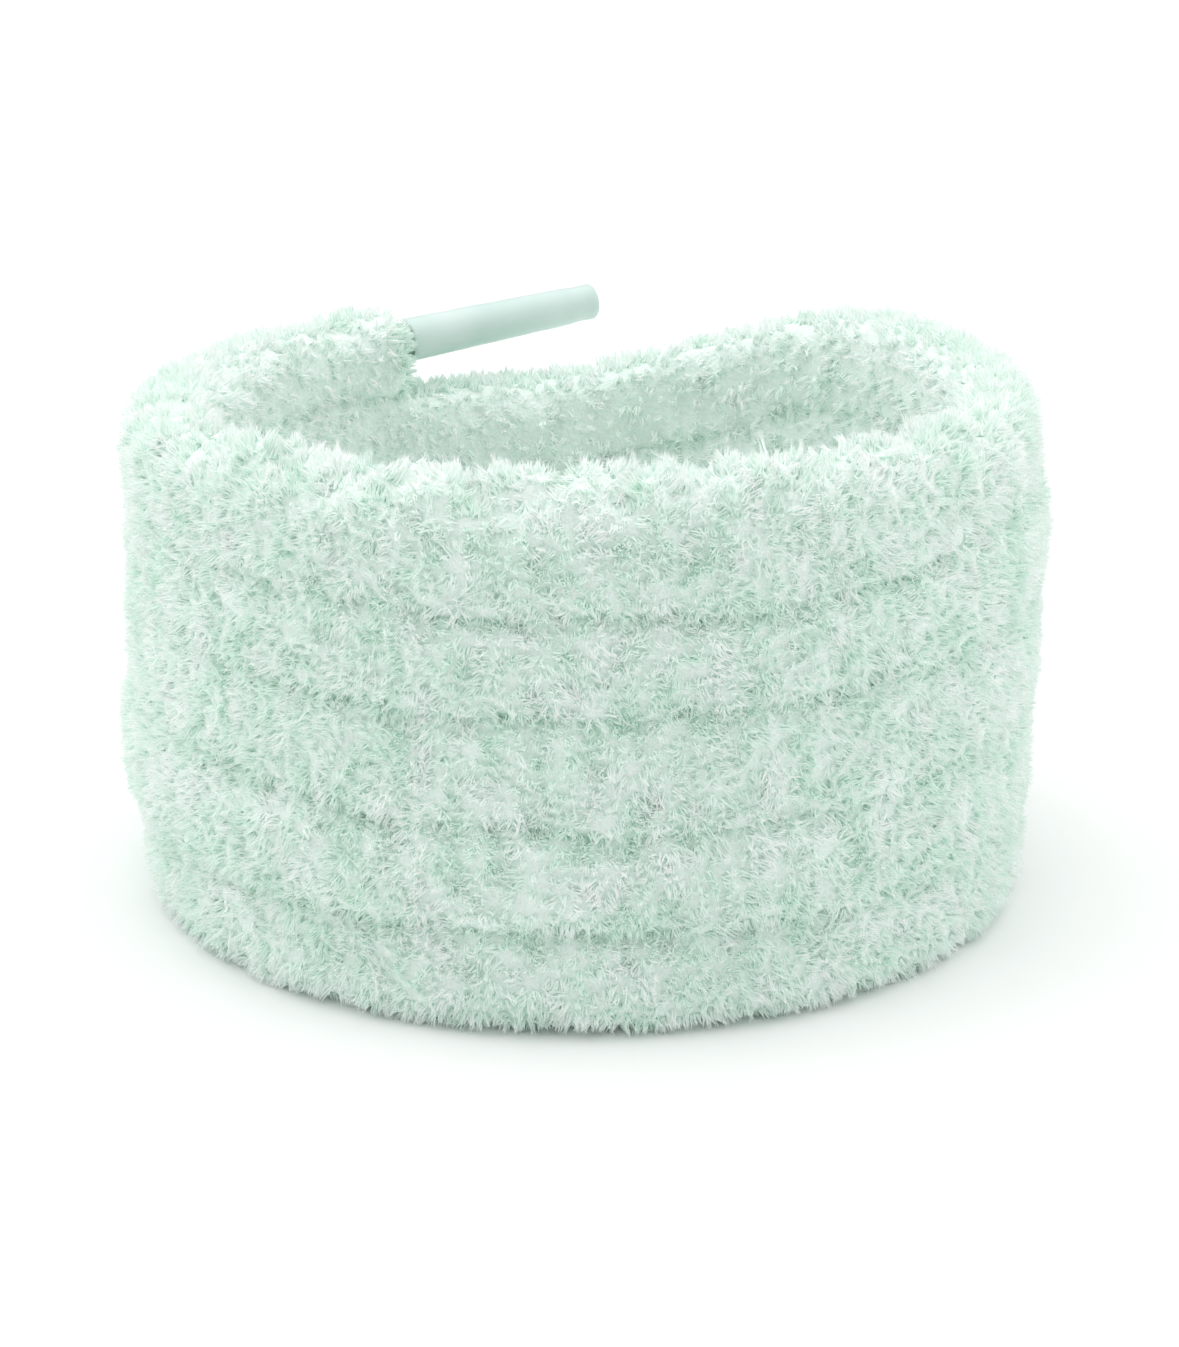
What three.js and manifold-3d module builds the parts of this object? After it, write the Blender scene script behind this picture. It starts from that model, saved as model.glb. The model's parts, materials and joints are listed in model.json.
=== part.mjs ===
// A plush shoelace wound into a standing coil of stacked turns, with an aglet on each end.
// Millimetres, +Z up. The coil stands on Z = 0, and the middle of its outline is the origin.
// The lace starts at the tail on the floor and winds clockwise, seen from above. Each turn lies
// level round the right, the front and the left, and climbs onto the next one at the back.
// A bearing is an angle in degrees, anticlockwise from +X, seen from above.
import * as THREE from "three";
import { mergeVertices } from "three/addons/utils/BufferGeometryUtils.js";
import Module from "manifold-3d";

// Coil
const COIL_RADIUS = 37.7; // from the coil's axis to the middle of the lace
const TURN_COUNT = 5;
const CLIMB_END = 36; // bearing where a turn has reached the next level
const CLIMB_SPAN = 66; // degrees over which a turn climbs
const TAIL_BEARING = 20; // where the bottom end of the plush starts
const SWING_BEARING = 150; // where the free end bends away from the top turn
const LEAVE_BEARING = 124; // where the free end leaves the coil, straight on
const FREE_STRAIGHT = 2.8; // straight plush past that bearing
const SWING_OUT = 60; // degrees that the free end can bend away from the coil

// Lace
const LACE_DEPTH = 8.7; // along the coil's radius
const LACE_HEIGHT = 9.1;
const LACE_SQUARENESS = 0.7; // 1 is an ellipse, and less is more square
const LACE_SIDES = 12;
const STRAND_WIDTH = 1.2; // each of the filler strands in the middle
const STRAND_ROWS = [-1, 1]; // two strands across and two up

// Aglets
const AGLET_LENGTH = 21.5;
const AGLET_WALL = 0.5;
const AGLET_TAPER = 0.35; // radius lost from root to tip
const AGLET_BEND = 30; // degrees that an aglet can bend at the plush
const TOP_AGLET_RISE = 3; // degrees that the top aglet points up at rest
const TIP_RECESS = 0.6; // from the rim down to the sealed strands
const RIM_ROUND = 0.15;

// Fits and facets
const GAP = 0.3; // between pieces that touch
const STEP = 18; // degrees between sections round the coil
const ROUND_SIDES = 24;

const PITCH = LACE_HEIGHT + GAP;
const STRAND_OFFSET = (STRAND_WIDTH + GAP) / 2;
const CHANNEL_WIDTH = 2 * STRAND_WIDTH + 3 * GAP;
const NECK_RADIUS = CHANNEL_WIDTH / 2 - GAP;
const AGLET_BORE = NECK_RADIUS + GAP; // radius at the root
const AGLET_RADIUS = AGLET_BORE + AGLET_WALL;
const AGLET_SWEEP = THREE.MathUtils.degToRad(AGLET_BEND + TOP_AGLET_RISE);
const AGLET_SETBACK = AGLET_RADIUS * Math.tan(AGLET_SWEEP) + GAP;
const UP = new THREE.Vector3(0, 0, 1);

const PLUSH = { color: 0xcfe9dc, roughness: 1, metalness: 0 };
const FILLER = { color: 0xe4efe9, roughness: 0.95, metalness: 0 };
const AGLET_FILM = { color: 0xcbe3d8, roughness: 0.35, metalness: 0 };

const wasm = await Module();
wasm.setup();

// A run is a place on the lace: its point, the way the lace goes, and the way out of the coil.
// Wind is the clockwise angle travelled since the first turn's level start.
function runAt(wind) {
  const bearing = THREE.MathUtils.degToRad(CLIMB_END - wind);
  const level = Math.floor(wind / 360);
  const climb = THREE.MathUtils.smoothstep(wind - 360 * level, 360 - CLIMB_SPAN, 360);
  const outward = new THREE.Vector3(Math.cos(bearing), Math.sin(bearing), 0);
  const point = outward.clone().multiplyScalar(COIL_RADIUS);
  point.z = LACE_HEIGHT / 2 + PITCH * (level + climb);
  return { point, outward, along: UP.clone().cross(outward).negate() };
}

function further(run, distance) {
  return { ...run, point: run.point.clone().addScaledVector(run.along, distance) };
}

// Turns share the same section bearings, so that a strand's facets stay parallel to its channel's.
function runsBetween(startWind, endWind) {
  const winds = [startWind];
  for (let k = Math.floor(startWind / STEP) + 1; k * STEP < endWind; k++) {
    if (k * STEP > startWind) winds.push(k * STEP);
  }
  winds.push(endWind);
  return winds.map(runAt);
}

// A path that puts each section upright on its own run, so that stacked turns stay parallel.
class LacePath extends THREE.Curve {
  constructor(runs) {
    super();
    this.runs = runs;
  }
  getPoint(t) {
    return this.runs[Math.round(t * (this.runs.length - 1))].point.clone();
  }
  getSpacedPoints() {
    return this.runs.map((run) => run.point.clone());
  }
  computeFrenetFrames() {
    return {
      tangents: this.runs.map((run) => run.along),
      normals: this.runs.map((run) => run.outward),
      binormals: this.runs.map(() => UP),
    };
  }
}

function sweep(shape, runs) {
  const extrudePath = new LacePath(runs);
  return new THREE.ExtrudeGeometry(shape, { steps: runs.length - 1, extrudePath });
}

function squarePath(PathClass, width, across = 0, up = 0) {
  const half = width / 2;
  const path = new PathClass();
  path.moveTo(across - half, up - half);
  path.lineTo(across + half, up - half);
  path.lineTo(across + half, up + half);
  path.lineTo(across - half, up + half);
  path.closePath();
  return path;
}

// The plush has flat facets at the top, bottom and sides, where turns press on each other.
function plushSection() {
  const flat = Math.cos(Math.PI / LACE_SIDES) ** LACE_SQUARENESS;
  const swell = (part) => (Math.sign(part) * Math.abs(part) ** LACE_SQUARENESS) / flat;
  const corners = [];
  for (let k = 0; k < LACE_SIDES; k++) {
    const angle = ((2 * k + 1) * Math.PI) / LACE_SIDES;
    const across = (LACE_DEPTH / 2) * swell(Math.cos(angle));
    const up = (LACE_HEIGHT / 2) * swell(Math.sin(angle));
    corners.push(new THREE.Vector2(across, up));
  }
  const section = new THREE.Shape(corners);
  section.holes.push(squarePath(THREE.Path, CHANNEL_WIDTH));
  return section;
}

function solidOf(geometry) {
  const bare = geometry.index ? geometry.toNonIndexed() : geometry.clone();
  bare.deleteAttribute("normal");
  bare.deleteAttribute("uv");
  const merged = mergeVertices(bare, 1e-4);
  const vertProperties = merged.attributes.position.array;
  const triVerts = new Uint32Array(merged.index.array);
  return new wasm.Manifold(new wasm.Mesh({ numProp: 3, vertProperties, triVerts }));
}

function geometryOf(solid) {
  const { vertProperties, triVerts } = solid.getMesh();
  const geometry = new THREE.BufferGeometry();
  geometry.setAttribute("position", new THREE.BufferAttribute(vertProperties, 3));
  geometry.setIndex(new THREE.BufferAttribute(triVerts, 1));
  geometry.computeVertexNormals();
  return geometry;
}

// Turns a shape made along +Y at the origin to lie along the lace, and puts it on its run.
function placed(geometry, run) {
  const sideways = run.along.clone().cross(UP).normalize();
  const upward = sideways.clone().cross(run.along);
  const turn = new THREE.Matrix4().makeBasis(sideways, run.along, upward);
  turn.setPosition(run.point);
  return geometry.applyMatrix4(turn);
}

// An upright post through the lace, round which the free end swings.
function swingPost(run, radius) {
  const post = new THREE.CylinderGeometry(radius, radius, 2 * LACE_HEIGHT, ROUND_SIDES);
  return solidOf(placed(post.rotateX(Math.PI / 2), run));
}

function mesh(name, geometry, look) {
  const made = new THREE.Mesh(geometry, new THREE.MeshStandardMaterial(look));
  made.name = name;
  return made;
}

const WIND_OF_SPLIT = THREE.MathUtils.radToDeg(GAP / COIL_RADIUS) / 2;
const TAIL_WIND = CLIMB_END - TAIL_BEARING;
const TOP_TURN_WIND = 360 * TURN_COUNT + CLIMB_END;
const SWING_WIND = TOP_TURN_WIND - SWING_BEARING;
const LEAVE_WIND = TOP_TURN_WIND - LEAVE_BEARING;
const swingRun = runAt(SWING_WIND);
// The hollow is wide enough for the free end's flank to clear the top turn's at full swing.
const swingClearance = Math.cos(THREE.MathUtils.degToRad(SWING_OUT / 2));
const swingSocket = swingPost(swingRun, LACE_DEPTH / 2 / swingClearance + GAP);

// The plush of one turn of the coil. The last one ends in a hollow that the free end swings in.
function plushTurn(turn) {
  const last = turn === TURN_COUNT;
  const start = turn === 1 ? TAIL_WIND : 360 * (turn - 1) + WIND_OF_SPLIT;
  const end = last ? SWING_WIND : 360 * turn - WIND_OF_SPLIT;
  const plush = sweep(plushSection(), runsBetween(start, end));
  const shaped = last ? geometryOf(solidOf(plush).subtract(swingSocket)) : plush;
  return mesh(`pile_turn_${turn}`, shaped, PLUSH);
}

// Both ends stop short of the joints, so that the aglet's round neck has room to turn.
function strandSections() {
  return STRAND_ROWS.flatMap((up) =>
    STRAND_ROWS.map((across) =>
      squarePath(THREE.Shape, STRAND_WIDTH, across * STRAND_OFFSET, up * STRAND_OFFSET),
    ),
  );
}

function coilStrands() {
  const neckWind = THREE.MathUtils.radToDeg((NECK_RADIUS + GAP) / COIL_RADIUS);
  const runs = runsBetween(TAIL_WIND + neckWind, SWING_WIND);
  return strandSections().map((section, k) => {
    const strand = solidOf(sweep(section, runs)).subtract(swingSocket);
    return mesh(`core_strand_${k + 1}`, geometryOf(strand), FILLER);
  });
}

// The free end's runs, from the swing post round to where it leaves the coil and straight on.
function freeRuns(straight) {
  const runs = runsBetween(SWING_WIND, LEAVE_WIND);
  return [...runs, further(runs.at(-1), straight)];
}

function freePlush() {
  const nose = LACE_DEPTH / 2;
  const runs = freeRuns(FREE_STRAIGHT);
  const swept = solidOf(sweep(plushSection(), [further(swingRun, -nose), ...runs]));
  const reach = 2 * COIL_RADIUS;
  const ahead = new THREE.BoxGeometry(reach, reach, reach).translate(0, reach / 2, 0);
  const kept = swingPost(swingRun, nose).add(solidOf(placed(ahead, swingRun)));
  return mesh("free_end_pile", geometryOf(swept.intersect(kept)), PLUSH);
}

function freeStrands() {
  const runs = freeRuns(FREE_STRAIGHT - NECK_RADIUS - GAP);
  return strandSections().map((section, k) =>
    mesh(`free_core_strand_${k + 1}`, sweep(section, runs), FILLER),
  );
}

function lathed(outline) {
  const points = outline.map(([radius, along]) => new THREE.Vector2(radius, along));
  return new THREE.LatheGeometry(points, ROUND_SIDES);
}

// A wrapped film tube, narrower at its tip, that stands clear of the plush when it bends.
function agletSleeve() {
  const tip = AGLET_SETBACK + AGLET_LENGTH;
  const tipRadius = AGLET_RADIUS - AGLET_TAPER;
  return lathed([
    [AGLET_BORE, AGLET_SETBACK],
    [AGLET_RADIUS - RIM_ROUND, AGLET_SETBACK],
    [AGLET_RADIUS, AGLET_SETBACK + RIM_ROUND],
    [tipRadius, tip - RIM_ROUND],
    [tipRadius - RIM_ROUND, tip],
    [AGLET_BORE - AGLET_TAPER, tip],
    [AGLET_BORE, AGLET_SETBACK],
  ]);
}

// The lace's own end, pressed thin inside the film, with a round root that turns in the plush.
function agletCore() {
  const tip = AGLET_SETBACK + AGLET_LENGTH - TIP_RECESS;
  const slope = AGLET_TAPER / AGLET_LENGTH;
  const root = [];
  for (let k = 0; k <= ROUND_SIDES / 4; k++) {
    const angle = (k / (ROUND_SIDES / 4) - 1) * (Math.PI / 2);
    root.push([NECK_RADIUS * Math.cos(angle), NECK_RADIUS * Math.sin(angle)]);
  }
  root[0][0] = 0;
  const tipRadius = NECK_RADIUS - slope * (tip - AGLET_SETBACK);
  return lathed([...root, [NECK_RADIUS, AGLET_SETBACK], [tipRadius, tip], [0, tip]]);
}

// The pieces past one end of the plush, with the run pointing out of the lace.
function agletAt(run, end) {
  return [
    mesh(`${end}_aglet_sleeve`, placed(agletSleeve(), run), AGLET_FILM),
    mesh(`${end}_aglet_core`, placed(agletCore(), run), FILLER),
  ];
}

function turnedBack(run) {
  return { ...run, along: run.along.clone().negate() };
}

function tiltedUp(run, degrees) {
  const sideways = run.along.clone().cross(UP);
  const angle = THREE.MathUtils.degToRad(degrees);
  return { ...run, along: run.along.clone().applyAxisAngle(sideways, angle) };
}

const lace = new THREE.Group();
for (let turn = 1; turn <= TURN_COUNT; turn++) lace.add(plushTurn(turn));
lace.add(...coilStrands(), freePlush(), ...freeStrands());
const plushEnd = further(runAt(LEAVE_WIND), FREE_STRAIGHT);
lace.add(...agletAt(tiltedUp(plushEnd, TOP_AGLET_RISE), "top"));
lace.add(...agletAt(turnedBack(runAt(TAIL_WIND)), "tail"));

const outline = new THREE.Box3().setFromObject(lace);
const middle = outline.getCenter(new THREE.Vector3());
lace.position.set(-middle.x, -middle.y, -outline.min.z);

export default lace;
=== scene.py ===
"""A plush shoelace wound into a standing coil, with a film-wrapped aglet on each end.

Metres, +Z up. The lace is a knitted ground with cut pile: the ground is a swept tube, and the
pile is locks of fine fibres that Geometry Nodes plant on it. A wind is the clockwise angle in
degrees that the lace has travelled since the first turn's level start, seen from above.
"""
import json
import math

import bpy
import numpy as np
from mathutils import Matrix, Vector, noise

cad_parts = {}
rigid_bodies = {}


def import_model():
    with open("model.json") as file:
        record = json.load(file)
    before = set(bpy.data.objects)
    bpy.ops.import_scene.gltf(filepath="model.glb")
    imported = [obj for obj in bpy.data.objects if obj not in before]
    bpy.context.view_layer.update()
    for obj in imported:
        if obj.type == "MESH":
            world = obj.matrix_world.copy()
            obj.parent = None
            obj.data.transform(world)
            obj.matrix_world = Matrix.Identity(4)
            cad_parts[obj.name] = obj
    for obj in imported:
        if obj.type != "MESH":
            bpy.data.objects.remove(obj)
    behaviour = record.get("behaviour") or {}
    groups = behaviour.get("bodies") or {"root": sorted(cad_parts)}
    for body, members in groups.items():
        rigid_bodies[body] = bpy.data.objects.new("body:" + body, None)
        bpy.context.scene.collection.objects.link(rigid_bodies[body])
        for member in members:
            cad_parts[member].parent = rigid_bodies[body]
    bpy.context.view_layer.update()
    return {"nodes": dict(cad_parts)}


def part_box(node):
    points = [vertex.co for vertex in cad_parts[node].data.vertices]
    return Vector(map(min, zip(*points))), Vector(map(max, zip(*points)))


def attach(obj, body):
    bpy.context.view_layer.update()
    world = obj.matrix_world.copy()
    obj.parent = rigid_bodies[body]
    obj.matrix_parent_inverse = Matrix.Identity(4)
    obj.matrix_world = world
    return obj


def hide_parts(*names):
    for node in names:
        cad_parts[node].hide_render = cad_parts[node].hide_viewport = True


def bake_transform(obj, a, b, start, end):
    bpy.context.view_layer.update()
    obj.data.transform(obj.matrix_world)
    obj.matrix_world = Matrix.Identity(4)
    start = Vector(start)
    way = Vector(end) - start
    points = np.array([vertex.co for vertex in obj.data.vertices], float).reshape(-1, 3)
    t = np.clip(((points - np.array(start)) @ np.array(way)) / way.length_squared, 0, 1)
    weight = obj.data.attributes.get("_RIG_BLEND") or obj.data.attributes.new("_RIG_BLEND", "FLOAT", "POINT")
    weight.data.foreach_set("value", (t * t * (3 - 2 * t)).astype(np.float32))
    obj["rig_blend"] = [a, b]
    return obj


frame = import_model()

MM = 0.001

# ---------------------------------------------------------------- the lace's route
LACE_DEPTH = 8.7 * MM
LACE_HEIGHT = 9.1 * MM
PITCH = LACE_HEIGHT + 0.3 * MM
CLIMB_END = 36.0  # bearing where a turn has reached the next level
CLIMB_SPAN = 66.0
TAIL_WIND = CLIMB_END - 20.0
TURNS = 5
TOP_WIND = 360.0 * TURNS + CLIMB_END
SWING_WIND = TOP_WIND - 150.0
LEAVE_WIND = TOP_WIND - 124.0
FREE_STRAIGHT = 2.8 * MM

RING_LOW, RING_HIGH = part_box("pile_turn_3")
COIL_X = (RING_LOW[0] + RING_HIGH[0]) / 2
COIL_Y = (RING_LOW[1] + RING_HIGH[1]) / 2
COIL_RADIUS = (RING_HIGH[0] - RING_LOW[0] - LACE_DEPTH) / 2
END_WIND = LEAVE_WIND + math.degrees(FREE_STRAIGHT / COIL_RADIUS)

# In millimetres, how far each seam strays up, at the right, the front and the left.
SEAM_DRIFT = (
    (-0.7, 0.0, 1.3),
    (0.2, -0.9, 1.2),
    (1.4, 0.0, 1.2),
    (0.5, -1.3, 0.3),
)
# In millimetres, how far each turn bulges outwards, at the right, the front and the left.
BULGE_DRIFT = (
    (-1.3, -0.1, -1.2),
    (-0.9, 0.3, 0.5),
    (-0.5, 0.0, -0.3),
    (0.0, 0.1, -0.6),
    (-1.0, 0.0, -0.4),
)
SEAM_STRAY = 0.7 * MM  # how far a seam wanders besides
SEAM_STRAY_SIZE = 9.0 * MM
SEAM_STRAY_APART = 1.7  # in sizes, from one seam's wandering to the next one's
UP = Vector((0, 0, 1))
DRIFT_WINDS = (0.0, CLIMB_END, CLIMB_END + 90, CLIMB_END + 180, 360 - CLIMB_SPAN, 360.0)
# In millimetres, how far the top of the last turn is above its level at each of those winds.
CROWN_DRIFT = (0.3, -0.2, 0.0, -1.3, -1.25, -1.25)


def eased(at, stops, values):
    """Values between stops, with a level start and end to each stretch."""
    k = int(np.clip(np.searchsorted(stops, at) - 1, 0, len(stops) - 2))
    part = np.clip((at - stops[k]) / (stops[k + 1] - stops[k]), 0, 1)
    return values[k] + (values[k + 1] - values[k]) * part * part * (3 - 2 * part)


def drift(table, wind):
    """A named drift of the turn that wind is in, in metres."""
    turn = int(np.clip(wind // 360, 0, len(table) - 1))
    right, front, left = table[turn]
    stops = (0.0, right, front, left, 0.0, 0.0)
    return eased(wind - 360 * turn, DRIFT_WINDS, stops) * MM


def rise(wind):
    """The levels that the lace has climbed."""
    level = math.floor(wind / 360)
    return level + eased(wind - 360 * level, (360 - CLIMB_SPAN, 360), (0, 1))


def seam(wind):
    """Height of the seam under the lace at this wind."""
    if wind < TAIL_WIND + 360:
        return PITCH * rise(wind)
    fade = eased(wind, (TAIL_WIND + 360, CLIMB_END + 360), (0, 1))
    place = Vector(run_at(wind)[0] / SEAM_STRAY_SIZE) + UP * (SEAM_STRAY_APART * (wind // 360))
    stray = noise.noise(place) * SEAM_STRAY
    return PITCH * rise(wind) + fade * (drift(SEAM_DRIFT, wind - 360) + stray)


def crown(wind):
    """Height of the top of the lace at this wind."""
    if wind <= END_WIND - 360:
        return seam(wind + 360)
    stray = eased(wind - 360 * (TURNS - 1), DRIFT_WINDS, CROWN_DRIFT) * MM
    fade = eased(wind, (END_WIND - 360, 360 * (TURNS - 1)), (0, 1))
    return PITCH * (rise(wind) + 1) + fade * stray


def run_at(wind):
    """A point of the route on the floor plane, the way out of the coil, and the way along."""
    bearing = math.radians(CLIMB_END - min(wind, LEAVE_WIND))
    outward = np.array([math.cos(bearing), math.sin(bearing), 0.0])
    along = np.array([math.sin(bearing), -math.cos(bearing), 0.0])
    past = math.radians(max(wind - LEAVE_WIND, 0)) * COIL_RADIUS
    return np.array([COIL_X, COIL_Y, 0]) + COIL_RADIUS * outward + past * along, outward, along


def middle_at(wind):
    """The middle of the lace, as the solids have it."""
    point = run_at(wind)[0].copy()
    point[2] = LACE_HEIGHT / 2 + PITCH * rise(wind)
    return point


# ---------------------------------------------------------------- node helpers
def add(tree, kind, inputs=None, **settings):
    """A new node with its settings, and each input linked or set."""
    node = tree.nodes.new(kind)
    for key, value in settings.items():
        setattr(node, key, value)
    for key, value in (inputs or {}).items():
        if isinstance(value, bpy.types.NodeSocket):
            tree.links.new(value, node.inputs[key])
        else:
            node.inputs[key].default_value = value
    return node


def named(tree, key, kind="FLOAT"):
    node = add(tree, "GeometryNodeInputNamedAttribute", {"Name": key}, data_type=kind)
    return node.outputs["Attribute"]


def maths(tree, operation, *values):
    inputs = dict(enumerate(values))
    return add(tree, "ShaderNodeMath", inputs, operation=operation).outputs[0]


def vectors(tree, operation, *values):
    inputs = dict(enumerate(values))
    return add(tree, "ShaderNodeVectorMath", inputs, operation=operation).outputs["Vector"]


def scaled(tree, vector, amount):
    inputs = {"Vector": vector, "Scale": amount}
    return add(tree, "ShaderNodeVectorMath", inputs, operation="SCALE").outputs["Vector"]


def ranged(tree, value, reach, wanted):
    """A noise's value, which is 0.5 give or take the reach, spread over the wanted range."""
    low, high = wanted
    inputs = {"Value": value, 1: 0.5 - reach, 2: 0.5 + reach, 3: low, 4: high}
    return add(tree, "ShaderNodeMapRange", inputs).outputs[0]


# ---------------------------------------------------------------- camera, light and floor
CAMERA_BACK = 309.3 * MM
CAMERA_HIGH = 123.8 * MM
CAMERA_DOWN = 18.82  # degrees below level
CAMERA_LENS = 93.73
CAMERA_ASIDE = 0.5 * MM  # of the coil's middle, to the right
SENSOR = 36.0

LIGHT_ROUND = 0.2  # of the white room, on every side
LIGHT_ABOVE = 1.58
LIGHT_BEHIND = 0.12  # more at the back, and less at the front
LIGHT_SIDES = 1.05  # from either side
SOFTBOX_PLACE = (-0.3, 0.1, 0.75)
SOFTBOX_AIM = (0, 0, 0.03)
SOFTBOX_SIZE = 0.8
SOFTBOX_POWER = 0.9
FLOOR_REACH = 4.0
PAPER = (0.88, 0.88, 0.88, 1)


def make_camera():
    data = bpy.data.cameras.new("camera")
    data.lens = CAMERA_LENS
    data.sensor_width = SENSOR
    data.clip_start = 0.01
    camera = bpy.data.objects.new("camera", data)
    camera.location = (COIL_X + CAMERA_ASIDE, COIL_Y - CAMERA_BACK, CAMERA_HIGH)
    camera.rotation_euler = (math.radians(90 - CAMERA_DOWN), 0, 0)
    bpy.context.scene.collection.objects.link(camera)
    bpy.context.scene.camera = camera


def area_light(name, place, aim, size, power):
    data = bpy.data.lights.new(name, "AREA")
    data.shape = "DISK"
    data.size = size
    data.energy = power
    light = bpy.data.objects.new(name, data)
    light.location = place
    light.rotation_euler = (Vector(aim) - Vector(place)).to_track_quat("-Z", "Y").to_euler()
    bpy.context.scene.collection.objects.link(light)


def make_studio():
    scene = bpy.context.scene
    scene.view_settings.view_transform = "Standard"
    scene.cycles.max_bounces = 16
    scene.cycles.diffuse_bounces = 12
    scene.world = bpy.data.worlds.new("studio")
    scene.world.use_nodes = True
    tree = scene.world.node_tree
    backdrop = tree.nodes["Background"]
    backdrop.inputs["Color"].default_value = (1.0, 1.0, 1.0, 1)
    sky = add(tree, "ShaderNodeTexCoord")
    way = add(tree, "ShaderNodeSeparateXYZ", {0: sky.outputs["Generated"]})
    above = maths(tree, "MULTIPLY", way.outputs["Z"], way.outputs["Z"])
    glow = maths(tree, "MULTIPLY_ADD", above, LIGHT_ABOVE, LIGHT_ROUND)
    glow = maths(tree, "MULTIPLY_ADD", way.outputs["Y"], LIGHT_BEHIND, glow)
    sides = maths(tree, "MULTIPLY", way.outputs["X"], way.outputs["X"])
    glow = maths(tree, "MULTIPLY_ADD", sides, LIGHT_SIDES, glow)
    tree.links.new(glow, backdrop.inputs["Strength"])
    area_light("softbox", SOFTBOX_PLACE, SOFTBOX_AIM, SOFTBOX_SIZE, SOFTBOX_POWER)


def make_floor():
    data = bpy.data.meshes.new("floor")
    corners = [(-1, -1), (1, -1), (1, 1), (-1, 1)]
    points = [(x * FLOOR_REACH, y * FLOOR_REACH, 0) for x, y in corners]
    data.from_pydata(points, [], [(0, 1, 2, 3)])
    floor = bpy.data.objects.new("floor", data)
    bpy.context.scene.collection.objects.link(floor)
    paper = new_material("studio_paper")
    shader = paper.node_tree.nodes["Principled BSDF"]
    shader.inputs["Base Color"].default_value = PAPER
    shader.inputs["Roughness"].default_value = 0.9
    data.materials.append(paper)


# ---------------------------------------------------------------- materials
def new_material(name):
    material = bpy.data.materials.new(name)
    material.use_nodes = True
    return material


def ramp(tree, factor, stops):
    """A colour for a factor, from places and their colours."""
    node = tree.nodes.new("ShaderNodeValToRGB")
    elements = node.color_ramp.elements
    while len(elements) < len(stops):
        elements.new(0.5)
    for element, (place, colour) in zip(elements, stops):
        element.position = place
        element.color = (*colour, 1)
    tree.links.new(factor, node.inputs["Fac"])
    return node.outputs["Color"]


PILE_MAP = "OFBake"  # across it is a fibre's shade, random streaks with painted light and painted shade added, and up it is root to tip
# On the pile, the greener colours at the root are painted shade deep in the pile.
ROOT_GREEN = (0.775, 0.92, 0.845)
MID_GREEN = (0.84, 0.945, 0.89)
TIP_GREEN = (0.87, 0.955, 0.915)
TIP_PALE = (0.94, 0.97, 0.955)
TIP_WHITE = (0.985, 0.99, 0.985)


def pile_material():
    """Matt fibre that is greener at the root, as painted shade deep in the pile, and whiter at the tip and
    where the shade is high; that shade carries painted light and shade too.
    """
    material = new_material("plush_pile")
    tree = material.node_tree
    shader = tree.nodes["Principled BSDF"]
    uv = tree.nodes.new("ShaderNodeUVMap")
    uv.uv_map = PILE_MAP
    split = tree.nodes.new("ShaderNodeSeparateXYZ")
    tree.links.new(uv.outputs["UV"], split.inputs[0])
    # Both ramps run greener towards the root: painted shade deep in the pile.
    deep = ramp(tree, split.outputs["Y"], [(0.0, ROOT_GREEN), (0.45, MID_GREEN), (1.0, TIP_GREEN)])
    pale = ramp(tree, split.outputs["Y"], [(0.0, TIP_GREEN), (0.35, TIP_PALE), (0.9, TIP_WHITE)])
    mix = tree.nodes.new("ShaderNodeMixRGB")
    tree.links.new(split.outputs["X"], mix.inputs["Fac"])
    tree.links.new(deep, mix.inputs["Color1"])
    tree.links.new(pale, mix.inputs["Color2"])
    tree.links.new(mix.outputs["Color"], shader.inputs["Base Color"])
    shader.inputs["Roughness"].default_value = 0.85
    shader.inputs["Specular IOR Level"].default_value = 0.25
    shader.inputs["Sheen Weight"].default_value = 0.25
    shader.inputs["Sheen Roughness"].default_value = 0.5
    return material


BLOTCH_SCALE = 260
BLOTCH_SHARE = 0.3
FUZZ_SCALE = 2600


def ground_material():
    """The knitted ground that shows between the locks: short matted fibre, deeper in colour."""
    material = new_material("plush_ground")
    tree = material.node_tree
    shader = tree.nodes["Principled BSDF"]
    place = tree.nodes.new("ShaderNodeTexCoord")
    blotch = tree.nodes.new("ShaderNodeTexNoise")
    blotch.inputs["Scale"].default_value = BLOTCH_SCALE
    blotch.inputs["Detail"].default_value = 4
    fuzz = tree.nodes.new("ShaderNodeTexNoise")
    fuzz.inputs["Scale"].default_value = FUZZ_SCALE
    fuzz.inputs["Detail"].default_value = 3
    for node in (blotch, fuzz):
        tree.links.new(place.outputs["Object"], node.inputs["Vector"])
    mixed = maths(tree, "MULTIPLY", fuzz.outputs["Fac"], 1 - BLOTCH_SHARE)
    mixed = maths(tree, "MULTIPLY_ADD", blotch.outputs["Fac"], BLOTCH_SHARE, mixed)
    colour = ramp(tree, mixed, [(0.3, ROOT_GREEN), (0.5, MID_GREEN), (0.7, TIP_PALE)])
    tree.links.new(colour, shader.inputs["Base Color"])
    bump = tree.nodes.new("ShaderNodeBump")
    bump.inputs["Strength"].default_value = 0.8
    bump.inputs["Distance"].default_value = 0.4 * MM
    tree.links.new(fuzz.outputs["Fac"], bump.inputs["Height"])
    tree.links.new(bump.outputs["Normal"], shader.inputs["Normal"])
    shader.inputs["Roughness"].default_value = 0.95
    return material


YARN_SCALE = 420
YARN_DARK = (0.60, 0.76, 0.68)
YARN_PALE = (0.84, 0.91, 0.87)


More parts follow.
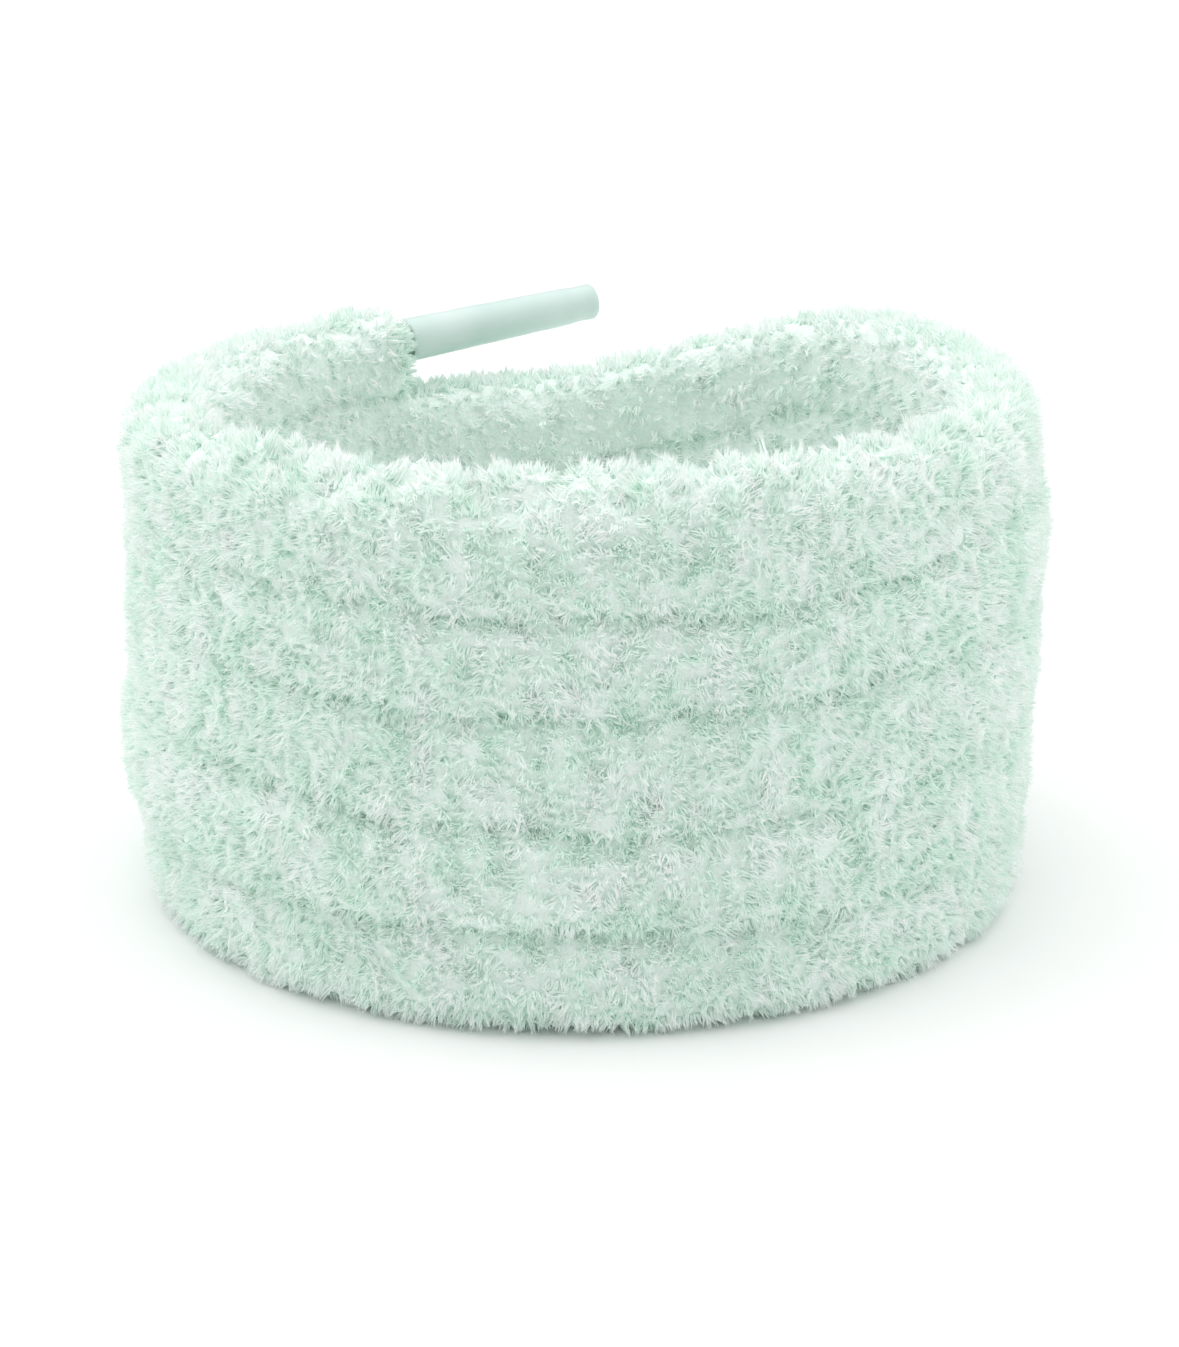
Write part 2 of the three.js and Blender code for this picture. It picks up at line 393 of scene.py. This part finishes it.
def filler_material():
    """Twisted yarn in the middle of the lace."""
    material = new_material("filler_yarn")
    tree = material.node_tree
    shader = tree.nodes["Principled BSDF"]
    place = tree.nodes.new("ShaderNodeTexCoord")
    ply = tree.nodes.new("ShaderNodeTexWave")
    ply.bands_direction = "DIAGONAL"
    ply.inputs["Scale"].default_value = YARN_SCALE
    ply.inputs["Distortion"].default_value = 3
    tree.links.new(place.outputs["Object"], ply.inputs["Vector"])
    colour = ramp(tree, ply.outputs["Fac"], [(0.0, YARN_DARK), (1.0, YARN_PALE)])
    tree.links.new(colour, shader.inputs["Base Color"])
    bump = tree.nodes.new("ShaderNodeBump")
    bump.inputs["Distance"].default_value = 0.15 * MM
    tree.links.new(ply.outputs["Fac"], bump.inputs["Height"])
    tree.links.new(bump.outputs["Normal"], shader.inputs["Normal"])
    shader.inputs["Roughness"].default_value = 0.9
    return material


CLOUD_SCALE = 180
FILM_DARK = (0.56, 0.70, 0.66)
FILM_PALE = (0.64, 0.75, 0.72)


def aglet_material():
    """Satin film wound tight round the lace's end, with a faint ripple from the yarn below."""
    material = new_material("aglet_film")
    tree = material.node_tree
    shader = tree.nodes["Principled BSDF"]
    place = tree.nodes.new("ShaderNodeTexCoord")
    cloud = tree.nodes.new("ShaderNodeTexNoise")
    cloud.inputs["Scale"].default_value = CLOUD_SCALE
    cloud.inputs["Detail"].default_value = 2
    tree.links.new(place.outputs["Object"], cloud.inputs["Vector"])
    colour = ramp(tree, cloud.outputs["Fac"], [(0.3, FILM_DARK), (0.7, FILM_PALE)])
    tree.links.new(colour, shader.inputs["Base Color"])
    gloss = tree.nodes.new("ShaderNodeMapRange")
    gloss.inputs["To Min"].default_value = 0.30
    gloss.inputs["To Max"].default_value = 0.46
    tree.links.new(cloud.outputs["Fac"], gloss.inputs["Value"])
    tree.links.new(gloss.outputs["Result"], shader.inputs["Roughness"])
    bump = tree.nodes.new("ShaderNodeBump")
    bump.inputs["Strength"].default_value = 0.25
    bump.inputs["Distance"].default_value = 0.08 * MM
    tree.links.new(cloud.outputs["Fac"], bump.inputs["Height"])
    tree.links.new(bump.outputs["Normal"], shader.inputs["Normal"])
    return material


# ---------------------------------------------------------------- the knitted ground
PRESSED_SQUARE = 0.43  # where another turn presses on the lace: 1 is an ellipse, less is squarer
OPEN_SQUARE = 0.72  # where nothing lies on it or under it
PINCH = 0.16  # how much the squareness changes along the seams
PINCH_SIZE = 9.0 * MM
GROUND_INSET = 0.8 * MM  # from the pile's tips down to the ground
UNDER_INSET = 0.48 * MM  # and at the floor
SEAM_INSET = -0.5 * MM  # and where turns press into each other
BETWEEN_LEAN = 0.3  # how much the pile between two turns leans up or down
LUMP_SIZE = 5.0 * MM
LUMP_HEIGHT = 0.25 * MM
PUFF_SIZE = 2.3 * MM  # of the cloudy tufts that the pile gathers in
PUFF_HEIGHT = 0.45 * MM
PUFF_EDGE = 0.75  # of its size, from a tuft's middle to where it meets the next
PUFF_SPREAD = 1.1  # how much a tuft's fibres lean out from its middle
RIM_LUMP_SIZE = 3.0 * MM  # of the rounder lumps along the open rim at the front
RIM_LUMP_HEIGHT = 2.4 * MM
RIM_LEAST = 0.05  # share of the lumps below which they are left out
RIM_FADE = 0.3  # how far past the sides the lumps fade out
LOWEST = 0.1 * MM  # of anything above the floor
GROUND_STEP = 1.0  # degrees of wind between rings
GROUND_SIDES = 48
SWING_REACH = math.degrees(8 * MM / COIL_RADIUS)
FREE_START = SWING_WIND - SWING_REACH  # where the bending stretch takes over from the coil
BARE_ABOVE = (END_WIND - 370, END_WIND - 335)  # the winds over which the top comes to lie open
BARE_BELOW = (TAIL_WIND + 320, TAIL_WIND + 360)  # and those over which the underside is covered


def squared(part, squareness):
    """A sine or cosine made squarer."""
    return math.copysign(abs(part) ** squareness, part)


def openness(wind, above):
    """From 0, where a turn lies above or below the lace here, to 1, where none does."""
    if above:
        return eased(wind, BARE_ABOVE, (0, 1))
    return eased(wind, BARE_BELOW, (1, 0))


def puff(point, size, height):
    """How proud the pile's tuft is at a point, and the way out from the tuft's middle."""
    distances, middles = noise.voronoi(Vector(point / size))
    away = point / size - np.array(middles[0])
    return height * (1 - min(distances[0] / PUFF_EDGE, 1) ** 2), away


def ground_ring(wind, angles):
    """Points of the ground round the lace, and the way the pile leans on each.

    An angle of 0 faces out of the coil, and 90 faces up.
    """
    base, outward, _ = run_at(wind)
    bulge = drift(BULGE_DRIFT, wind)
    under = wind >= TAIL_WIND + 360
    over = wind <= END_WIND - 360
    low = seam(wind) + (SEAM_INSET if under else UNDER_INSET)
    high = crown(wind) - (SEAM_INSET if over else GROUND_INSET)
    half_depth = LACE_DEPTH / 2 - GROUND_INSET
    points, leans = [], []
    frontness = min(max(RIM_FADE - outward[1], 0), 1)
    pinch = noise.noise(Vector((*base[:2], low)) / PINCH_SIZE) * PINCH
    for angle in angles:
        across, up = math.cos(math.radians(angle)), math.sin(math.radians(angle))
        bare = openness(wind, up > 0)
        square = PRESSED_SQUARE + pinch + (OPEN_SQUARE - PRESSED_SQUARE) * bare
        point = base + (half_depth * squared(across, square) + bulge * max(across, 0)) * outward
        point[2] = (low + high) / 2 + (high - low) / 2 * squared(up, square)
        lump = noise.noise(Vector(point / LUMP_SIZE)) * LUMP_HEIGHT
        proud, away = puff(point, PUFF_SIZE, PUFF_HEIGHT)
        on_rim = frontness * bare * max(up, 0) ** 2
        if on_rim > RIM_LEAST:
            rim_proud, rim_away = puff(point, RIM_LUMP_SIZE, RIM_LUMP_HEIGHT)
            proud = proud * (1 - on_rim / 2) + rim_proud * on_rim
            away = away + rim_away * on_rim
        lean = outward * across + np.array([0, 0, up * (BETWEEN_LEAN + (1 - BETWEEN_LEAN) * bare)])
        lean /= np.linalg.norm(lean)
        point += lean * (lump + proud)
        point[2] = max(point[2], LOWEST)
        points.append(point)
        leans.append(lean + away * PUFF_SPREAD)
    return np.array(points), np.array(leans)


def surface(name, rings, closed, materials=(), caps=True):
    """A mesh over rings of points, with a fan over each end where the rings are closed."""
    rows, columns = len(rings), len(rings[0])
    points = [tuple(point) for ring in rings for point in ring]
    faces = []
    for i in range(rows - 1):
        for j in range(columns if closed else columns - 1):
            a, b = i * columns + j, i * columns + (j + 1) % columns
            faces.append((a, b, b + columns, a + columns))
    if closed and caps:
        ends = ((rings[0], 0, True), (rings[-1], (rows - 1) * columns, False))
        for ring, first, turned in ends:
            centre = len(points)
            points.append(tuple(np.mean(ring, axis=0)))
            for j in range(columns):
                a, b = first + j, first + (j + 1) % columns
                faces.append((b, a, centre) if turned else (a, b, centre))
    mesh = bpy.data.meshes.new(name)
    mesh.from_pydata(points, [], faces)
    mesh.polygons.foreach_set("use_smooth", [True] * len(faces))
    for material in materials:
        mesh.materials.append(material)
    made = bpy.data.objects.new(name, mesh)
    bpy.context.scene.collection.objects.link(made)
    return made


DOME_PARTS = (0.97, 0.88, 0.72, 0.5, 0.3)  # of the lace's width, for each ring of a dome
DOME_LENGTH = 2.8 * MM
DOME_WIND = math.degrees(2.6 * MM / COIL_RADIUS)  # the lace's ends begin to close this early
END_LIFT = 0.5 * MM  # how far a dome's middle is above that of the lace


def dome(wind, side, angles):
    """Smaller and smaller rings past an end of the lace, side being -1 at its start."""
    ring, leans = ground_ring(wind, angles)
    centre = ring.mean(axis=0)
    along = run_at(wind)[2] * side
    centre[2] += END_LIFT
    made = []
    for part in DOME_PARTS:
        past = math.sqrt(1 - part * part)
        made.append((centre + (ring - centre) * part + along * DOME_LENGTH * past,
                     leans * part + along * past))
    return made


def ground_tube(name, start, end, material):
    """The closed ground between two winds, and the middles of its rings."""
    count = max(3, round((end - start) / GROUND_STEP))
    angles = np.arange(GROUND_SIDES) * 360 / GROUND_SIDES
    rings = [ground_ring(wind, angles)[0] for wind in np.linspace(start, end, count)]
    first = [points for points, _ in dome(start, -1, angles)]
    last = [points for points, _ in dome(end, 1, angles)]
    rings = first[::-1] + rings + last
    tube = surface(name, rings, True, [material])
    return tube, [ring.mean(axis=0) for ring in rings]


# ---------------------------------------------------------------- the pile
NEEDLES_PER_LOCK = 8
LOCK_KINDS = 7
NEEDLE_WIDTH = 0.115 * MM  # from its middle to a corner
LOCK_ROOT = 0.42 * MM  # spread of a lock's needles at the root
LOCK_TIP = 0.23 * MM
OUTER_PILE = 30  # needles for each square millimetre
BACK_PILE = 16
INNER_PILE = 14
PILE_LENGTH = 1.25 * MM
LOCK_REACH = (0.7, 1.1)  # millimetres that a lock's needles are long
LOCK_APART = 0.34 * MM
DENSEST = 6.5 / (MM * MM)  # locks for each square metre, before they are kept apart


def lock_mesh(name, draw):
    """A few tapered three-sided fibres with one root, drawn together at the tip, 1 mm long."""
    points, faces, alongs, tints = [], [], [], []
    for _ in range(NEEDLES_PER_LOCK):
        turn, spin = draw.uniform(0, 2 * math.pi, 2)
        reach = LOCK_ROOT * math.sqrt(draw.uniform())
        root = np.array([math.cos(turn) * reach, math.sin(turn) * reach, 0])
        tip = np.append(draw.normal(0, LOCK_TIP, 2), 1 * MM * draw.uniform(*LOCK_REACH))
        first = len(points)
        for k in range(3):
            angle = spin + k * 2 * math.pi / 3
            points.append(root + np.array([math.cos(angle), math.sin(angle), 0]) * NEEDLE_WIDTH)
        points.append(tip)
        alongs += [0.0, 0.0, 0.0, 1.0]
        tints += [draw.uniform(-0.5, 0.5)] * 4
        a, b, c, d = range(first, first + 4)
        faces += [(a, b, d), (b, c, d), (c, a, d), (c, b, a)]
    mesh = bpy.data.meshes.new(name)
    mesh.from_pydata([tuple(point) for point in points], [], faces)
    for key, values in (("along", alongs), ("tint", tints)):
        mesh.attributes.new(key, "FLOAT", "POINT").data.foreach_set("value", values)
    return mesh


def make_locks():
    draw = np.random.default_rng(LOCK_SEED)
    locks = bpy.data.collections.new("locks")
    bpy.context.scene.collection.children.link(locks)
    for k in range(LOCK_KINDS):
        name = f"lock_{k + 1}"
        locks.objects.link(bpy.data.objects.new(name, lock_mesh(name, draw)))
    return locks


def wander(tree, size):
    """A vector from -0.5 to 0.5 that changes over the given size."""
    grain = add(tree, "ShaderNodeTexNoise", {"Scale": 1 / size, "Detail": 1.0})
    return vectors(tree, "SUBTRACT", grain.outputs["Color"], (0.5, 0.5, 0.5))


PILE_INPUTS = (
    ("Locks", "NodeSocketCollection"),
    ("Material", "NodeSocketMaterial"),
    ("Seed", "NodeSocketInt"),
    ("Length", "NodeSocketFloat"),
    ("Stray", "NodeSocketFloat"),
    ("Sweep", "NodeSocketFloat"),
    ("Floor", "NodeSocketFloat"),
)
LOCK_SEED = 11
FREE_SEED = 50
FULL_TURN = 6.283
PILE_FLOOR = 0.05 * MM  # the lowest that a fibre's tip goes
STRAY = 0.65  # how much the locks lean at random
STRAY_SIZE = 1.7 * MM
SWEEP = 0.7  # and how much they lean together
SWEEP_SIZE = 7.0 * MM
STREAK_SIZE = 2.4 * MM  # width of the paler and greener streaks, which stand upright
STREAK_SQUASH = 0.5
TINT_SPREAD = 0.15  # of the fibres within a lock
SWELL_RANGE = (0.8, 1.12)  # of the pile's length
SWELL_REACH = 0.2
SHADE_RANGE = (0.0, 1.0)
SHADE_REACH = 0.17


def pile_tree():
    """Plants locks on a surface: denser, longer and leaning as the surface's attributes say."""
    tree = bpy.data.node_groups.new("plant_pile", "GeometryNodeTree")
    tree.interface.new_socket("Geometry", in_out="INPUT", socket_type="NodeSocketGeometry")
    for key, kind in PILE_INPUTS:
        tree.interface.new_socket(key, in_out="INPUT", socket_type=kind)
    tree.interface.new_socket("Geometry", in_out="OUTPUT", socket_type="NodeSocketGeometry")
    given = add(tree, "NodeGroupInput").outputs
    scatter = add(
        tree,
        "GeometryNodeDistributePointsOnFaces",
        {
            "Mesh": given["Geometry"],
            "Distance Min": LOCK_APART,
            "Density Max": DENSEST,
            "Density Factor": maths(tree, "DIVIDE", named(tree, "density"), DENSEST),
            "Seed": given["Seed"],
        },
        distribute_method="POISSON",
    )
    stray = scaled(tree, wander(tree, STRAY_SIZE), given["Stray"])
    sweep = scaled(tree, wander(tree, SWEEP_SIZE), given["Sweep"])
    lean = vectors(tree, "ADD", named(tree, "lean", "FLOAT_VECTOR"), stray)
    lean = vectors(tree, "NORMALIZE", vectors(tree, "ADD", lean, sweep))
    stand = add(tree, "FunctionNodeAlignRotationToVector", {"Vector": lean}, axis="Z")
    spin = add(tree, "FunctionNodeRandomValue", {"Min": 0.0, "Max": FULL_TURN}, data_type="FLOAT")
    spin = spin.outputs[1]
    spun = add(tree, "FunctionNodeAxisAngleToRotation", {"Axis": (0, 0, 1), "Angle": spin})
    turned = add(
        tree,
        "FunctionNodeRotateRotation",
        {"Rotation": stand.outputs[0], "Rotate By": spun.outputs[0]},
        rotation_space="LOCAL",
    )
    swell = {"Scale": 1 / STRAY_SIZE, "Detail": 0.0, "Distortion": 0.6}
    swell = add(tree, "ShaderNodeTexNoise", swell).outputs["Fac"]
    length = maths(tree, "MULTIPLY", given["Length"], ranged(tree, swell, SWELL_REACH, SWELL_RANGE))
    length = maths(tree, "MULTIPLY", length, named(tree, "length"))
    size = add(tree, "ShaderNodeCombineXYZ", {"X": 1.0, "Y": 1.0, "Z": length})
    spot = add(tree, "GeometryNodeInputPosition").outputs[0]
    upright = vectors(tree, "MULTIPLY", spot, (1.0, 1.0, STREAK_SQUASH))
    patchy = add(
        tree, "ShaderNodeTexNoise", {"Vector": upright, "Scale": 1 / STREAK_SIZE, "Detail": 1.5}
    )
    shade = ranged(tree, patchy.outputs["Fac"], SHADE_REACH, SHADE_RANGE)
    # Adds the painted light and painted shade to the random streaks.
    shade = maths(tree, "ADD", shade, named(tree, "paleness"))
    points = add(
        tree,
        "GeometryNodeStoreNamedAttribute",
        {"Geometry": scatter.outputs["Points"], "Name": "shade", "Value": shade},
        data_type="FLOAT",
        domain="POINT",
    )
    kinds = add(
        tree,
        "GeometryNodeCollectionInfo",
        {"Collection": given["Locks"], "Separate Children": True, "Reset Children": True},
    )
    planted = add(
        tree,
        "GeometryNodeInstanceOnPoints",
        {
            "Points": points.outputs[0],
            "Instance": kinds.outputs[0],
            "Pick Instance": True,
            "Rotation": turned.outputs[0],
            "Scale": size.outputs[0],
        },
    )
    real = add(tree, "GeometryNodeRealizeInstances", {"Geometry": planted.outputs[0]})
    spot = add(tree, "GeometryNodeInputPosition").outputs[0]
    x, y, z = add(tree, "ShaderNodeSeparateXYZ", {0: spot}).outputs
    height = maths(tree, "MAXIMUM", z, given["Floor"])
    pressed = add(tree, "ShaderNodeCombineXYZ", {"X": x, "Y": y, "Z": height}).outputs[0]
    rested = {"Geometry": real.outputs[0], "Position": pressed}
    rested = add(tree, "GeometryNodeSetPosition", rested)
    tinted = maths(tree, "MULTIPLY_ADD", named(tree, "tint"), TINT_SPREAD, named(tree, "shade"))
    across = add(tree, "ShaderNodeClamp", {"Value": tinted}).outputs[0]
    chart = add(tree, "ShaderNodeCombineXYZ", {"X": across, "Y": named(tree, "along")})
    mapped = add(
        tree,
        "GeometryNodeStoreNamedAttribute",
        {"Geometry": rested.outputs[0], "Name": PILE_MAP, "Value": chart.outputs[0]},
        data_type="FLOAT2",
        domain="CORNER",
    )
    dressed = add(
        tree, "GeometryNodeSetMaterial", {"Geometry": mapped.outputs[0], "Material": given["Material"]}
    )
    add(tree, "NodeGroupOutput", {"Geometry": dressed.outputs[0]})
    return tree


def plant(name, rings, leans, grown, tree, locks, material, seed):
    """A plain mesh of the pile on a patch of ground."""
    patch = surface(name + "_patch", rings, False)
    values = patch.data.attributes
    flat = np.concatenate(leans).astype(np.float32).ravel()
    values.new("lean", "FLOAT_VECTOR", "POINT").data.foreach_set("vector", flat)
    # The last value at each place is painted light and shade.
    density, length, paleness = np.concatenate(grown).T
    per_area = density / NEEDLES_PER_LOCK / (MM * MM)
    for key, numbers in (("density", per_area), ("length", length), ("paleness", paleness)):
        values.new(key, "FLOAT", "POINT").data.foreach_set("value", numbers.astype(np.float32))
    modifier = patch.modifiers.new("pile", "NODES")
    modifier.node_group = tree
    given = {
        "Locks": locks, "Material": material, "Seed": seed, "Length": PILE_LENGTH / MM,
        "Stray": STRAY, "Sweep": SWEEP, "Floor": PILE_FLOOR,
    }
    for item in tree.interface.items_tree:
        if item.in_out == "INPUT" and item.name in given:
            modifier[item.identifier] = given[item.name]
    bpy.context.view_layer.update()
    planted = patch.evaluated_get(bpy.context.evaluated_depsgraph_get())
    mesh = bpy.data.meshes.new_from_object(planted)
    mesh.name = name
    ground = patch.data
    bpy.data.objects.remove(patch)
    bpy.data.meshes.remove(ground)
    made = bpy.data.objects.new(name, mesh)
    bpy.context.scene.collection.objects.link(made)
    return made


COVERED_ANGLE = 68.0  # past it, pile is hidden between two turns
FLOOR_ANGLE = 83.0  # and past it on the floor
FACING_BELOW = 0.3  # sine of the bearing where the back's thinner pile starts
PATCH_STEP = 7.5


def pile_density(wind, angle):
    """Needles for each square millimetre at a place on the ground."""
    outer = math.cos(math.radians(angle)) > 0
    up = math.sin(math.radians(angle)) > 0
    steep = abs(math.degrees(math.asin(math.sin(math.radians(angle)))))
    covered = wind <= END_WIND - 360 if up else wind >= TAIL_WIND + 360
    if covered and steep > COVERED_ANGLE:
        return 0.0
    if not up and wind < 360 - CLIMB_SPAN and steep > FLOOR_ANGLE:
        return 0.0
    if steep > COVERED_ANGLE:
        return OUTER_PILE
    facing = math.sin(math.radians(CLIMB_END - wind)) < FACING_BELOW
    if outer:
        return OUTER_PILE if facing else BACK_PILE
    return INNER_PILE


RIM_TUFT_SHARE = 0.08
RIM_TUFT_LENGTH = 2.4
RIM_ANGLES = (60, 130)
RIM_FRONT = -0.4  # sine of the bearing where the tall tufts stop


def pile_length(wind, angle, draw):
    """How much longer the pile is at a place: a few tufts stand up along the front rim."""
    chance = draw.uniform()
    front = math.sin(math.radians(CLIMB_END - wind)) < RIM_FRONT
    on_rim = wind > END_WIND - 360 and RIM_ANGLES[0] < angle < RIM_ANGLES[1]
    return RIM_TUFT_LENGTH if front and on_rim and chance < RIM_TUFT_SHARE else 1.0


PAINTED_GROOVE_SHADE = 0.45  # how much greener the pile is painted in the grooves between turns: painted shade
GROOVE_ANGLE = 22.0
PAINTED_RIM_LIGHT = 0.15  # and paler on the open rim, as painted light on the top
PAINTED_INSIDE_LIGHT = 0.45  # and paler inside the coil, as painted light


def pile_painted_light_and_shade(wind, angle):
    """How much paler, or greener where it is below zero, the pile is painted at a place: painted light on
    the open rim and inside the coil, and painted shade in the grooves.
    """
    up = math.sin(math.radians(angle))
    steep = abs(math.degrees(math.asin(up)))
    bare = openness(wind, up > 0)
    # Painted shade: the pile is made greener in the grooves between turns, where shade falls.
    groove = eased(steep, (GROOVE_ANGLE, COVERED_ANGLE), (0, 1)) * (1 - bare)
    # Painted light: the pile inside the coil is made paler.
    inside = PAINTED_INSIDE_LIGHT * max(-math.cos(math.radians(angle)), 0)
    # Painted light on the open rim's top and inside the coil, less the painted shade in the grooves.
    return PAINTED_RIM_LIGHT * bare * max(up, 0) + inside - PAINTED_GROOVE_SHADE * groove


def pile_patch(name, start, end, low, high, tools, seed, domed=()):
    """Pile between two winds and two angles, and over the domes at the ends named in domed."""
    count = max(3, round((end - start) / GROUND_STEP))
    angles = np.arange(low, high + 0.1, PATCH_STEP)
    draw = np.random.default_rng(seed)
    stretch = []
    for wind in np.linspace(start, end, count):
        grown = [
            (pile_density(wind, angle), pile_length(wind, angle, draw), pile_painted_light_and_shade(wind, angle))
            for angle in angles
        ]
        stretch.append((*ground_ring(wind, angles), grown))
    even = [(OUTER_PILE, 1.0, 0.0)] * len(angles)
    if -1 in domed:
        stretch = [(*ring, even) for ring in dome(start, -1, angles)[::-1]] + stretch
    if 1 in domed:
        stretch += [(*ring, even) for ring in dome(end, 1, angles)]
    rings, leans, grown = zip(*stretch)
    return plant(name, rings, leans, grown, *tools, seed)


# ---------------------------------------------------------------- the aglets
AGLET_SETBACK = 1.7 * MM  # from the plush's end to the film's
AGLET_LENGTH = 21.5 * MM
AGLET_RADIUS = 2.15 * MM
AGLET_WALL = 0.5 * MM
AGLET_TAPER = 0.35 * MM
AGLET_RISE = 3.0  # degrees that the top one points up
FILM_SIDES = 72
FILM_TUCK = 0.5 * MM  # how far the film reaches back into the pile
FILM_LAP = 0.07 * MM  # the step where the film's end overlaps it
FILM_RIPPLE = 0.05 * MM
FILM_RIM = 0.16 * MM
FILM_ROUND = ((0.35, 0.65), (1.0, 1.0))  # how deep and how far out the rim's rings are
FILM_LAP_TURN = 200.0  # degrees from the side to the lap
FILM_RIPPLES = 7
FILM_PINCH = 0.06 * MM  # of the groove near the tip
FILM_PINCH_AT = 0.93
FILM_PINCH_WIDTH = 0.03
FILM_STATIONS = 40
FILM_BORE = (1.0, 0.97, 0.5, 0.0)  # parts of the length where the bore has rings


def film_radius(part, angle):
    """The film's outer radius at a part of its length, round from its lap."""
    lap = FILM_LAP * (1 - (angle / 360))
    turn = math.radians(angle)
    ripple = noise.noise(Vector((part * FILM_RIPPLES, math.cos(turn), math.sin(turn))))
    pinch = FILM_PINCH * math.exp(-((part - FILM_PINCH_AT) / FILM_PINCH_WIDTH) ** 2)
    return AGLET_RADIUS - AGLET_TAPER * part + lap + FILM_RIPPLE * ripple - pinch


def film_sleeve(name, root, along, material):
    """A tube of film with rounded rims, its middle line running from root."""
    sideways = np.cross(along, (0, 0, 1))
    sideways /= np.linalg.norm(sideways)
    upward = np.cross(sideways, along)
    outline = [(0.0, FILM_RIM * deep, -FILM_RIM * out) for deep, out in reversed(FILM_ROUND)]
    outline += [(part, 0.0, 0.0) for part in np.linspace(0, 1, FILM_STATIONS)]
    outline += [(1.0, FILM_RIM * deep, FILM_RIM * out) for deep, out in FILM_ROUND]
    outline += [(part, AGLET_WALL, 0.0) for part in FILM_BORE]
    rings = []
    for part, depth, past in outline:
        ring = []
        for k in range(FILM_SIDES):
            angle = 360 * k / FILM_SIDES
            radius = film_radius(part, angle) - depth
            turn = math.radians(angle + FILM_LAP_TURN)
            out = sideways * math.cos(turn) + upward * math.sin(turn)
            reach = AGLET_SETBACK - FILM_TUCK + (AGLET_LENGTH + FILM_TUCK) * part + past
            ring.append(root + along * reach + out * radius)
        rings.append(ring)
    rings.append(rings[0])
    return surface(name, rings, True, [material], caps=False)


# ---------------------------------------------------------------- making the lace
BEND_BEFORE = 7 * MM  # the lace starts to bend this far before the free end's joint
BEND_PAST = 5 * MM


def make_lace():
    """The ground and the pile: the cord's tube, its middle line and the pieces that go with it."""
    ground, pile = ground_material(), pile_material()
    tools = (pile_tree(), make_locks(), pile)
    tube, path = ground_tube("lace_ground", TAIL_WIND + DOME_WIND, FREE_START, ground)
    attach(tube, "coil")
    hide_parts(*[f"pile_turn_{turn}" for turn in range(1, TURNS + 1)])
    others = []
    for turn in range(1, TURNS + 1):
        start = TAIL_WIND + DOME_WIND if turn == 1 else 360.0 * (turn - 1)
        end = FREE_START if turn == TURNS else 360.0 * turn
        for side, low in (("outer", -90), ("inner", 90)):
            name = f"pile_{side}_{turn}"
            seed = 2 * turn + (side == "inner")
            domed = (-1,) if turn == 1 else ()
            made = pile_patch(name, start, end, low, low + 180, tools, seed, domed)
            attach(made, "coil")
            others.append(made)
    bend_end = END_WIND - DOME_WIND
    bend, _ = ground_tube("free_end_ground", FREE_START, bend_end, ground)
    bend_pile = pile_patch(
        "free_end_plush", FREE_START, bend_end, -90, 270, tools, FREE_SEED, (1,)
    )
    tangent = run_at(SWING_WIND)[2]
    pivot = middle_at(SWING_WIND)
    for made in (bend, bend_pile):
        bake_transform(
            made, "coil", "free_end",
            start=tuple(pivot - tangent * BEND_BEFORE), end=tuple(pivot + tangent * BEND_PAST),
        )
    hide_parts("free_end_pile")
    for lock in list(tools[1].objects):
        bpy.data.objects.remove(lock)
    bpy.data.collections.remove(tools[1])
    return tube, path, others + [bend, bend_pile]


def make_aglets():
    """Both films, the top one pointing up a little from the free end's plush."""
    film = aglet_material()
    tail = run_at(TAIL_WIND)
    top_along = run_at(END_WIND)[2] * math.cos(math.radians(AGLET_RISE))
    top_along = top_along + np.array([0, 0, math.sin(math.radians(AGLET_RISE))])
    made = []
    for end, wind, along in (("top", END_WIND, top_along), ("tail", TAIL_WIND, -tail[2])):
        sleeve = film_sleeve(f"{end}_aglet_film", middle_at(wind), along, film)
        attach(sleeve, f"{end}_aglet")
        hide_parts(f"{end}_aglet_sleeve")
        made.append(sleeve)
    return made


def finish_nodes():
    """Yarn for the solids that stay."""
    yarn = filler_material()
    for name, node in frame["nodes"].items():
        if "core" in name:
            node.data.materials.clear()
            node.data.materials.append(yarn)


make_camera()
make_studio()
make_floor()
tube, path, others = make_lace()
aglets = make_aglets()
finish_nodes()
